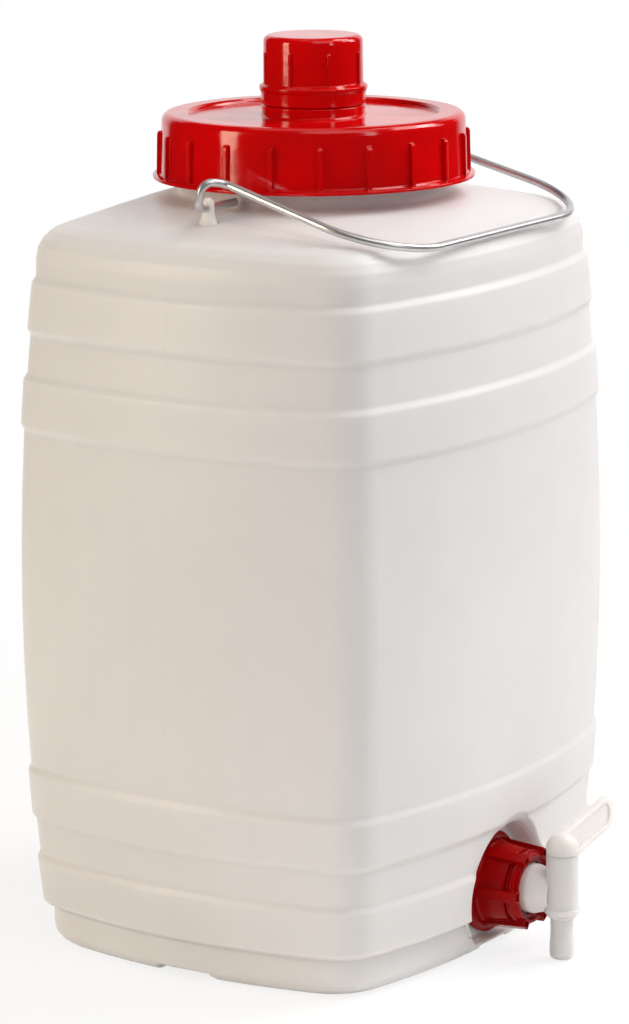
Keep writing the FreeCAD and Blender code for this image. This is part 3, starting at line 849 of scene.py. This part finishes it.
@dataclass
class Lid:
    """The wide screw lid with its pour neck and its gasket."""

    materials: Materials
    nodes: dict[str, bpy.types.Object]
    bore_radius: float = 72.0
    bore_crest: float = 69.6
    thread_z: float = 383.5
    pitch: float = 8.0
    pour_radius: float = 19.8
    pour_crest: float = 21.1
    pour_thread_z: float = 425.0
    pour_pitch: float = 5.0

    def build(self) -> list[str]:
        """Dress the lid and add its inner thread and the pour neck's thread.

        Returns:
            Names of the pieces dealt with.
        """
        self.materials.dress(self.nodes["screw_lid"], Finish.RED)
        self.materials.dress(self.nodes["lid_gasket"], Finish.SEAL)
        inner = Thread("lid_thread", self.bore_radius, self.bore_crest, self.thread_z, self.pitch,
                       turns=1.3, root_width=3.2, crest_width=1.4, side=Side.INSIDE, first=20.0,
                       steps_per_turn=120).build()
        pour = Thread("pour_neck_thread", self.pour_radius, self.pour_crest, self.pour_thread_z,
                      self.pour_pitch, turns=1.7, root_width=2.3, crest_width=0.8).build()
        for piece in (inner, pour):
            self.materials.dress(piece, Finish.RED)
            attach(piece, "lid")
        return ["screw_lid", "lid_gasket", inner.name, pour.name]


@dataclass
class PourCap:
    """The small screw cap on the pour neck and its gasket."""

    materials: Materials
    nodes: dict[str, bpy.types.Object]
    bore_radius: float = 22.0
    bore_crest: float = 20.9
    thread_z: float = 427.5
    pitch: float = 5.0

    def build(self) -> list[str]:
        """Dress the cap and add its inner thread.

        Returns:
            Names of the pieces dealt with.
        """
        self.materials.dress(self.nodes["pour_cap"], Finish.RED)
        self.materials.dress(self.nodes["pour_cap_gasket"], Finish.SEAL)
        inner = Thread("cap_thread", self.bore_radius, self.bore_crest, self.thread_z, self.pitch,
                       turns=1.5, root_width=2.2, crest_width=0.8, side=Side.INSIDE).build()
        self.materials.dress(inner, Finish.RED)
        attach(inner, "cap")
        return ["pour_cap", "pour_cap_gasket", inner.name]


@dataclass
class Bail:
    """The bright wire handle."""

    materials: Materials
    nodes: dict[str, bpy.types.Object]

    def build(self) -> list[str]:
        """Dress the wire and give its name."""
        self.materials.dress(self.nodes["bail_handle"], Finish.WIRE)
        return ["bail_handle"]


@dataclass(frozen=True)
class RingNut:
    """Ring nut with a stepped flange, a grooved front ring and six hollow grips, sizes in millimetres."""

    name: str = "ring_nut"
    back_y: float = -98.7
    centre_z: float = 33.2
    depth: float = 26.9
    bore: float = 17.5
    flange: float = 25.2
    back_radius: float = 20.4
    front_radius: float = 18.2
    hole: float = 13.0
    grips: int = 6
    grip_width: float = 5.4
    grip_back: float = 22.3
    grip_front: float = 20.4
    grip_proud: float = 0.9
    grip_wall: float = 1.3
    grip_start: float = 1.0
    grip_sink: float = 2.2
    hollow: float = 3.2
    hollow_draft: float = 0.08
    rounding: float = 0.45

    def outline(self) -> list[tuple[float, float]]:
        """Section of the turned body.

        Returns:
            Radius and height of each corner, the height from the back.
        """
        top, back, front = self.depth, self.back_radius, self.front_radius
        flange = [(self.bore, 0.0), (self.flange, 0.0), (self.flange, 2.4), (self.flange - 2.0, 3.6)]
        step = [(back + 0.9, 3.6), (back + 0.9, 5.6), (back, 6.4)]
        groove = [(front + 0.5, top - 7.6), (front - 0.9, top - 7.0), (front - 0.9, top - 5.2),
                  (front + 0.6, top - 4.6)]
        ring = [(front + 0.6, top - 2.6), (front - 0.6, top - 2.0), (front - 1.0, top), (front - 2.8, top)]
        mouth = [(front - 2.8, top - 1.8), (self.hole, top - 1.8), (self.hole, top - 4.4),
                 (self.bore, top - 4.4)]
        return flange + step + groove + ring + mouth

    def build(self) -> bpy.types.Object:
        """Turn the body, add the grips and lay the nut along the tap's axis.

        Returns:
            The nut as an object.
        """
        mesh = bmesh.new()
        ring = [mesh.verts.new((radius, 0.0, height)) for radius, height in self.outline()]
        lines = [mesh.edges.new((ring[k - 1], ring[k])) for k in range(len(ring))]
        bmesh.ops.spin(mesh, geom=ring + lines, angle=math.tau, steps=80, use_merge=True,
                       axis=(0.0, 0.0, 1.0), cent=(0.0, 0.0, 0.0))
        bmesh.ops.remove_doubles(mesh, verts=mesh.verts, dist=0.001)
        for index in range(self.grips):
            self.grip(mesh, math.tau * index / self.grips)
        lay_down(mesh, Axis.FORWARD, (0.0, self.back_y, self.centre_z))
        made = add_piece(self.name, mesh)
        round_edges(made, self.rounding)
        return made

    def grip(self, mesh: bmesh.types.BMesh, turn: float) -> None:
        """Add one grip: a tapered block whose front end is hollow.

        Args:
            mesh: Nut about +Z.
            turn: Bearing of the grip in radians.
        """
        foot, top = self.front_radius - self.grip_sink, self.depth + self.grip_proud
        block = bmesh.ops.create_cube(mesh, size=1.0)["verts"]
        for vert in block:
            front = vert.co.z > 0.0
            reach = self.grip_front if front else self.grip_back
            vert.co = Vector((reach if vert.co.x > 0.0 else foot, vert.co.y * self.grip_width,
                              top if front else self.grip_start))
        mesh.normal_update()
        ends = [face for face in {f for vert in block for f in vert.link_faces} if face.normal.z > 0.9]
        bmesh.ops.inset_individual(mesh, faces=ends, thickness=self.grip_wall, depth=0.0)
        bmesh.ops.inset_individual(mesh, faces=ends, thickness=self.hollow_draft, depth=-self.hollow)
        inner = {near for face in ends for edge in face.edges for near in edge.link_faces}
        moved = set(block) | {vert for face in inner.union(ends) for vert in face.verts}
        bmesh.ops.rotate(mesh, verts=list(moved), matrix=Matrix.Rotation(turn, 3, "Z"))


@dataclass
class Tap:
    """The plug tap: ring nut, body, gasket and turning core."""

    materials: Materials
    nodes: dict[str, bpy.types.Object]
    nut_bore: float = 17.5
    nut_crest: float = 16.6
    nut_thread_start: float = 103.1
    nut_pitch: float = 3.0
    centre_z: float = 33.2

    def build(self) -> list[str]:
        """Dress the tap and build its ring nut with the inner thread.

        Returns:
            Names of the pieces dealt with.
        """
        nut = RingNut().build()
        # The nut and its inner thread get the darker red, which is painted shade of the niche.
        self.materials.dress(nut, Finish.NUT)
        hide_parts("tap_nut")
        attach(nut, "tank")
        self.materials.dress(self.nodes["tap_body"], Finish.TAP)
        self.materials.dress(self.nodes["tap_core"], Finish.TAP)
        self.materials.dress(self.nodes["tap_gasket"], Finish.SEAL)
        inner = Thread("nut_thread", self.nut_bore, self.nut_crest, self.nut_thread_start, self.nut_pitch,
                       turns=3.6, root_width=0.9, crest_width=0.5, side=Side.INSIDE, axis=Axis.FORWARD,
                       centre=(0.0, 0.0, self.centre_z)).build()
        self.materials.dress(inner, Finish.NUT)
        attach(inner, "tank")
        return [nut.name, "tap_body", "tap_core", "tap_gasket", inner.name]


# Studio
@dataclass(frozen=True)
class SoftBox:
    """One soft lamp, placed by its bearing from the object."""

    name: str
    azimuth: float
    height: float
    distance: float
    width: float
    tall: float
    watts: float
    colour: tuple[float, float, float]

    def hang(self, target: Vector) -> str:
        """Hang the lamp so that it faces the target.

        Args:
            target: Point that it faces.

        Returns:
            Name of the lamp.
        """
        turn = math.radians(self.azimuth)
        place = Vector((math.sin(turn) * self.distance, -math.cos(turn) * self.distance, self.height))
        light = bpy.data.lights.new(self.name, "AREA")
        light.shape = "RECTANGLE"
        light.size, light.size_y = self.width, self.tall
        light.energy = self.watts
        light.color = self.colour
        made = bpy.data.objects.new(self.name, light)
        made.location = place
        made.rotation_euler = (target - place).to_track_quat("-Z", "Y").to_euler()
        bpy.context.scene.collection.objects.link(made)
        return made.name


# Bearing, height, distance, width, tallness, power and colour of each lamp
SOFT_BOXES = (
    SoftBox("left_box", -123.0, 0.85, 2.05, 0.55, 1.3, 20.5, (1.0, 0.82, 0.62)),
    SoftBox("front_box", -14.0, 1.2, 2.3, 0.35, 1.2, 6.0, (1.0, 0.95, 0.93)),
    SoftBox("right_box", 52.0, 1.5, 2.1, 0.6, 1.4, 20.0, (1.0, 0.95, 0.94)),
    SoftBox("top_box", 150.0, 2.6, 0.5, 1.2, 1.2, 3.0, (1.0, 1.0, 1.0)),
    SoftBox("sky_box", 45.0, 2.0, 1.4, 1.2, 1.2, 25.0, (1.0, 0.975, 0.97)),
    SoftBox("fill_box", -28.0, 2.2, 1.25, 1.6, 1.6, 11.5, (1.0, 0.97, 0.96)),
)


@dataclass
class Studio:
    """Pale floor, soft lamps, white surroundings and the camera."""

    materials: Materials
    azimuth: float = -57.3
    yaw: float = 0.025
    pitch: float = 12.072
    roll: float = -0.395
    place: tuple[float, float, float] = (-1.7473, -1.1218, 0.6519)
    lens: float = 150.32
    sensor: float = 36.0
    clip: tuple[float, float] = (0.05, 50.0)
    floor_radius: float = 1.15
    floor_rim: float = 0.25
    floor_gap: float = 0.0001
    aim: tuple[float, float, float] = (0.0, 0.0, 0.24)
    ambient: float = 0.34
    tint: Rgba = (1.0, 0.975, 0.955, 1.0)
    dim: float = 0.012
    backdrop: tuple[float, float] = (0.72, 0.84)

    def build(self) -> list[str]:
        """Set up the surroundings.

        Returns:
            Names of what was made.
        """
        bpy.context.scene.view_settings.view_transform = "Standard"
        names = [self.floor(), self.world(), self.camera()]
        return names + [box.hang(Vector(self.aim)) for box in SOFT_BOXES]

    def floor(self) -> str:
        """Lay a round floor under the object.

        Returns:
            Name of the floor.
        """
        mesh = bmesh.new()
        bmesh.ops.create_circle(mesh, cap_ends=True, segments=96, radius=self.floor_radius)
        bmesh.ops.inset_region(mesh, faces=mesh.faces[:], thickness=self.floor_rim)
        bmesh.ops.translate(mesh, verts=mesh.verts, vec=(0.0, 0.0, -self.floor_gap))
        made = add_piece("floor", mesh, False)
        self.materials.dress(made, Finish.FLOOR)
        return made.name

    def world(self) -> str:
        """Light the room softly, and show a white backdrop that the gloss reflects too.

        Returns:
            Name of the world.
        """
        world = bpy.data.worlds.new("room")
        bpy.context.scene.world = world
        world.use_nodes = True
        tree = world.node_tree
        tree.nodes.clear()

        def add(kind: str, **values: object) -> bpy.types.Node:
            """Add a node to the world.

            Args:
                kind: Short name of the node type.
                **values: Socket names with underscores for spaces.

            Returns:
                The node.
            """
            made = tree.nodes.new("ShaderNode" + kind)
            for key, value in values.items():
                made.inputs[key.replace("_", " ")].default_value = value
            return made

        link = tree.links.new
        output, path = add("OutputWorld"), add("LightPath")
        soft = add("Background", Color=self.tint, Strength=self.ambient)
        dark = add("Background", Color=WHITE, Strength=self.dim)
        shown = add("Background", Color=WHITE, Strength=1.0)
        turn = math.radians(self.azimuth)
        behind = add("VectorMath")
        behind.operation = "DOT_PRODUCT"
        behind.inputs[1].default_value = (-math.sin(turn), math.cos(turn), 0.0)
        link(add("TexCoord").outputs["Generated"], behind.inputs[0])
        backdrop = add("MapRange")
        backdrop.interpolation_type = "SMOOTHSTEP"
        backdrop.inputs["From Min"].default_value, backdrop.inputs["From Max"].default_value = self.backdrop
        link(behind.outputs["Value"], backdrop.inputs["Value"])
        gloss = add("MixShader")
        link(backdrop.outputs["Result"], gloss.inputs["Fac"])
        link(dark.outputs[0], gloss.inputs[1])
        link(shown.outputs[0], gloss.inputs[2])
        glossy = add("Math")
        glossy.operation = "MAXIMUM"
        link(path.outputs["Is Glossy Ray"], glossy.inputs[0])
        link(path.outputs["Is Transmission Ray"], glossy.inputs[1])
        first = add("MixShader")
        link(glossy.outputs[0], first.inputs["Fac"])
        link(soft.outputs[0], first.inputs[1])
        link(gloss.outputs[0], first.inputs[2])
        last = add("MixShader")
        link(path.outputs["Is Camera Ray"], last.inputs["Fac"])
        link(first.outputs[0], last.inputs[1])
        link(shown.outputs[0], last.inputs[2])
        link(last.outputs[0], output.inputs["Surface"])
        return world.name

    def camera(self) -> str:
        """Stand the camera where the picture was taken from.

        Returns:
            Name of the camera.
        """
        data = bpy.data.cameras.new("camera")
        data.sensor_fit = "AUTO"
        data.sensor_width = self.sensor
        data.lens = self.lens
        data.clip_start, data.clip_end = self.clip
        made = bpy.data.objects.new("camera", data)
        turn = (Matrix.Rotation(math.radians(self.azimuth + self.yaw), 4, "Z")
                @ Matrix.Rotation(math.radians(90.0 - self.pitch), 4, "X")
                @ Matrix.Rotation(math.radians(self.roll), 4, "Z"))
        made.matrix_world = Matrix.Translation(Vector(self.place)) @ turn
        bpy.context.scene.collection.objects.link(made)
        bpy.context.scene.camera = made
        return made.name


def main() -> None:
    """Load the frame, dress it and light it, without changing its sizes."""
    logging.basicConfig(level=logging.INFO, format="%(message)s")
    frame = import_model()
    nodes = frame["nodes"]
    materials = Materials()
    for part in (Studio(materials), Tank(materials, nodes), Lid(materials, nodes), PourCap(materials, nodes),
                 Bail(materials, nodes), Tap(materials, nodes)):
        for name in part.build():
            LOG.info("%s: %s", type(part).__name__, name)


if __name__ == "__main__":
    main()
